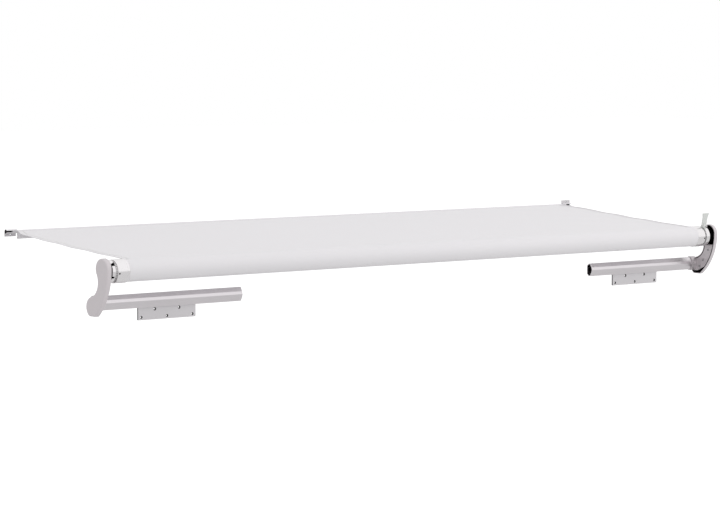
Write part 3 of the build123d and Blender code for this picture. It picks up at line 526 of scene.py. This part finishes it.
# %% [markdown]
# Thread shows where the side hems are sewn. Each stitch is a tiny box, copied along the hem,
# because a painted dash would have no thickness in a close view.

# %% Stitches along the side hems
STITCH = (0.0006, 0.0028, 0.0004)
STITCH_PITCH = 0.0045
FROM_HEM_EDGE = 0.003
OVER_SHEET = 1.6 * CLOTH
FIRST_Y, LAST_Y = Y_START + 0.01, Y_END - 0.008

bm = bmesh.new()
for side in (-1, 1):
    y = FIRST_Y
    while y < LAST_Y:
        x = side * (half_width_at(y) - HEM + FROM_HEM_EDGE)
        made = bmesh.ops.create_cube(bm, size=1)["verts"]
        bmesh.ops.scale(bm, vec=STITCH, verts=made)
        bmesh.ops.translate(bm, vec=(x, y, sheet_height(y) + ripple(x, y) + OVER_SHEET), verts=made)
        y += STITCH_PITCH
print("stitches along the sides:", len(bm.verts) // 8)
side_stitches = to_object(bm, "side_stitches", "rope")

# %% [markdown]
# The turns on the tube are a real spiral: an edge as long as the roller is spun four times round,
# and each step of it is then drawn a little further out, which a plain cylinder couldn't show at its ends.
# It grows up the front and over the top, where its last turn is as high as the sheet that leaves there.
# Cut edges are shaded flat: a long face would otherwise carry their normals all along the roller.

# %% Turns of cloth on the tube
TURNS = 4
STEPS = 72 * TURNS
ALONG = 24

bm = bmesh.new()
row = [
    bm.verts.new(((2 * n / ALONG - 1) * HALF_WIDTH, AXIS_Y, AXIS_Z + WOUND_INNER))
    for n in range(ALONG + 1)
]
row_edges = [bm.edges.new(pair) for pair in zip(row, row[1:])]
bmesh.ops.spin(
    bm, geom=[*row, *row_edges], cent=(0, AXIS_Y, AXIS_Z), axis=(-1, 0, 0),
    angle=2 * math.pi * TURNS, steps=STEPS, use_merge=False, use_duplicate=False,
)
bm.verts.index_update()
bm.verts.ensure_lookup_table()
for v in bm.verts:
    grow = WOUND_INNER + (WOUND_OUTER - WOUND_INNER) * (v.index // (ALONG + 1)) / STEPS
    out = Vector((0, v.co.y - AXIS_Y, v.co.z - AXIS_Z)).normalized() * grow
    v.co = Vector((v.co.x, AXIS_Y + out.y, AXIS_Z + out.z))
bmesh.ops.solidify(bm, geom=bm.faces[:], thickness=CLOTH / 2)


def faces_out(f):
    middle = f.calc_center_median()
    return abs(f.normal.dot(Vector((0, middle.y - AXIS_Y, middle.z - AXIS_Z)).normalized())) > 0.5


shade_smooth(bm, faces_out)
turns = to_object(bm, "wound_turns", "awning_fabric")

# %% [markdown]
# At the wall the cloth is folded round a cord, which makes the bead, and its end hangs below as a flap.

# %% Bead
BEAD_SIDES = 32
bead_radius = (bead_high.z - bead_low.z) / 2
bead_y = (bead_low.y + bead_high.y) / 2
bm = bmesh.new()
ring = bmesh.ops.create_circle(bm, cap_ends=True, segments=BEAD_SIDES, radius=bead_radius)["verts"]
bmesh.ops.rotate(bm, verts=ring, cent=(0, 0, 0), matrix=Matrix.Rotation(math.pi / 2, 3, "Y"))
bmesh.ops.translate(bm, verts=ring, vec=(bead_low.x, bead_y, Z_END))
cap = bm.faces[:]
grown = bmesh.ops.extrude_face_region(bm, geom=cap, use_keep_orig=True)
moved = [g for g in grown["geom"] if isinstance(g, bmesh.types.BMVert)]
bmesh.ops.translate(bm, verts=moved, vec=(bead_high.x - bead_low.x, 0, 0))
shade_smooth(bm, lambda f: len(f.verts) == 4)
bead = to_object(bm, "hem_cord_sleeve", "awning_fabric")

# %% Flap below the bead
FLAP_ACROSS, FLAP_DOWN = 120, 5
FLAP_SWING, FLAP_WAVES = 0.0004, 40

flap_low, flap_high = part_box("hem_strip")
bm = bmesh.new()
bmesh.ops.create_grid(bm, x_segments=FLAP_ACROSS, y_segments=FLAP_DOWN, size=0.5)
for v in bm.verts:
    x = v.co.x * (flap_high.x - flap_low.x)
    down = 0.5 - v.co.y
    z = flap_high.z - down * (flap_high.z - flap_low.z)
    v.co = Vector((x, bead_y + FLAP_SWING * down * math.sin(FLAP_WAVES * x), z))
bmesh.ops.solidify(bm, geom=bm.faces[:], thickness=CLOTH)
shade_smooth(bm, lambda f: abs(f.normal.y) > 0.5)
flap = to_object(bm, "hem_flap", "awning_fabric")
print("bead", round(bead_high.x - bead_low.x, 3), "m long")
print("flap", round(flap_high.z - flap_low.z, 4), "m deep")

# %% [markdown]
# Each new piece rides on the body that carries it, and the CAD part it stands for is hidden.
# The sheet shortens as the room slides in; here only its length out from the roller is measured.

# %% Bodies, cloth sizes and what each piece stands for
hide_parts("fabric_sheet")
for piece in (sheet, *side_hems, side_stitches):
    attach(piece, "frame")
    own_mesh(piece)
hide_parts("fabric_wound")
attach(turns, "roller")
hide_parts("hem_bead")
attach(bead, "wall_edge")
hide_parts("hem_strip")
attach(flap, "wall_edge")
out = math.hypot(Y_END - Y_START, Z_END - Z_START)

# %% [markdown]
# The object hangs on a wall, so the pale floor is well below it. The floor glows a little to the camera,
# which makes it white there, and metal sees it pale grey. The light it throws back is its plain colour's.

# %% Floor
FLOOR_SIZE, FLOOR_HEIGHT = 40, -0.9
FLOOR_COLOUR = (0.8, 0.8, 0.8, 1)
FLOOR_GLOW, FLOOR_MIRRORED = 0.5, 0.71

bm = bmesh.new()
bmesh.ops.create_grid(bm, x_segments=1, y_segments=1, size=FLOOR_SIZE)
bmesh.ops.translate(bm, verts=bm.verts[:], vec=(0, 0, FLOOR_HEIGHT))
floor_mesh = bpy.data.meshes.new("floor")
bm.to_mesh(floor_mesh)
bm.free()
floor = bpy.data.objects.new("floor", floor_mesh)
bpy.context.scene.collection.objects.link(floor)
floor_paint = bpy.data.materials.new("pale floor")
floor_paint.use_nodes = True
tree = floor_paint.node_tree
tree.nodes.remove(tree.nodes["Principled BSDF"])
matt = tree.nodes.new("ShaderNodeBsdfDiffuse")
matt.inputs["Color"].default_value = FLOOR_COLOUR
path = tree.nodes.new("ShaderNodeLightPath")
glow = tree.nodes.new("ShaderNodeEmission")
glow_strength = math_node(tree, "MULTIPLY", path.outputs["Is Camera Ray"], FLOOR_GLOW)
tree.links.new(glow_strength, glow.inputs["Strength"])
both = tree.nodes.new("ShaderNodeAddShader")
tree.links.new(matt.outputs[0], both.inputs[0])
tree.links.new(glow.outputs[0], both.inputs[1])
mirrored = tree.nodes.new("ShaderNodeEmission")
mirrored.inputs["Strength"].default_value = FLOOR_MIRRORED
choice = tree.nodes.new("ShaderNodeMixShader")
tree.links.new(path.outputs["Is Glossy Ray"], choice.inputs[0])
tree.links.new(both.outputs[0], choice.inputs[1])
tree.links.new(mirrored.outputs[0], choice.inputs[2])
tree.links.new(choice.outputs[0], tree.nodes["Material Output"].inputs["Surface"])
floor_mesh.materials.append(floor_paint)
floor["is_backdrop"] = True
print("floor at", FLOOR_HEIGHT, "m")

# %% [markdown]
# The world is plain white to the camera, in reflections and through clear parts, and a little
# dimmer as light.

# %% World
WHITE = (1, 1, 1, 1)
WORLD_LIGHT = 0.86

world = bpy.data.worlds.new("studio")
bpy.context.scene.world = world
world.use_nodes = True
tree = world.node_tree
soft = tree.nodes["Background"]
soft.inputs["Color"].default_value = WHITE
soft.inputs["Strength"].default_value = WORLD_LIGHT
white = tree.nodes.new("ShaderNodeBackground")
white.inputs["Color"].default_value = WHITE
white.inputs["Strength"].default_value = 1.0
path = tree.nodes.new("ShaderNodeLightPath")
seen = strongest(tree, [path.outputs[f"Is {ray} Ray"] for ray in ("Camera", "Glossy", "Transmission")])
shown = tree.nodes.new("ShaderNodeMixShader")
tree.links.new(seen, shown.inputs[0])
tree.links.new(soft.outputs[0], shown.inputs[1])
tree.links.new(white.outputs[0], shown.inputs[2])
tree.links.new(shown.outputs[0], tree.nodes["World Output"].inputs["Surface"])

# %% Lamps: place, size in metres and power in watts
LAMP_TARGET = Vector((0, 0.1, 0.15))
LAMP_COLOUR = (1, 0.99, 0.985)
for name, place, size, power in (
    ("top softbox", (1.0, -2.0, 6.5), 5.0, 50),
    ("front fill", (3.0, -11.0, 3.5), 8.0, 110),
    ("right softbox", (3.2, -3.5, 1.5), 2.5, 18),
):
    lamp = bpy.data.lights.new(name, "AREA")
    lamp.size = size
    lamp.energy = power
    lamp.color = LAMP_COLOUR
    holder = bpy.data.objects.new(name, lamp)
    bpy.context.scene.collection.objects.link(holder)
    holder.location = place
    holder.visible_glossy = False
    aim = LAMP_TARGET - Vector(place)
    holder.rotation_mode = "QUATERNION"
    holder.rotation_quaternion = aim.to_track_quat("-Z", "Y")
bpy.context.scene.view_settings.view_transform = "Standard"
print("stage and lamps set")

# %% [markdown]
# Last, the box of the dressed object is printed beside the CAD box.

# %% Measure and finish
seen_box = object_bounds()
for word, box in (("cad", cad_box), ("visual", seen_box)):
    print(word, "box", [round(c, 4) for c in (box[1] - box[0])])
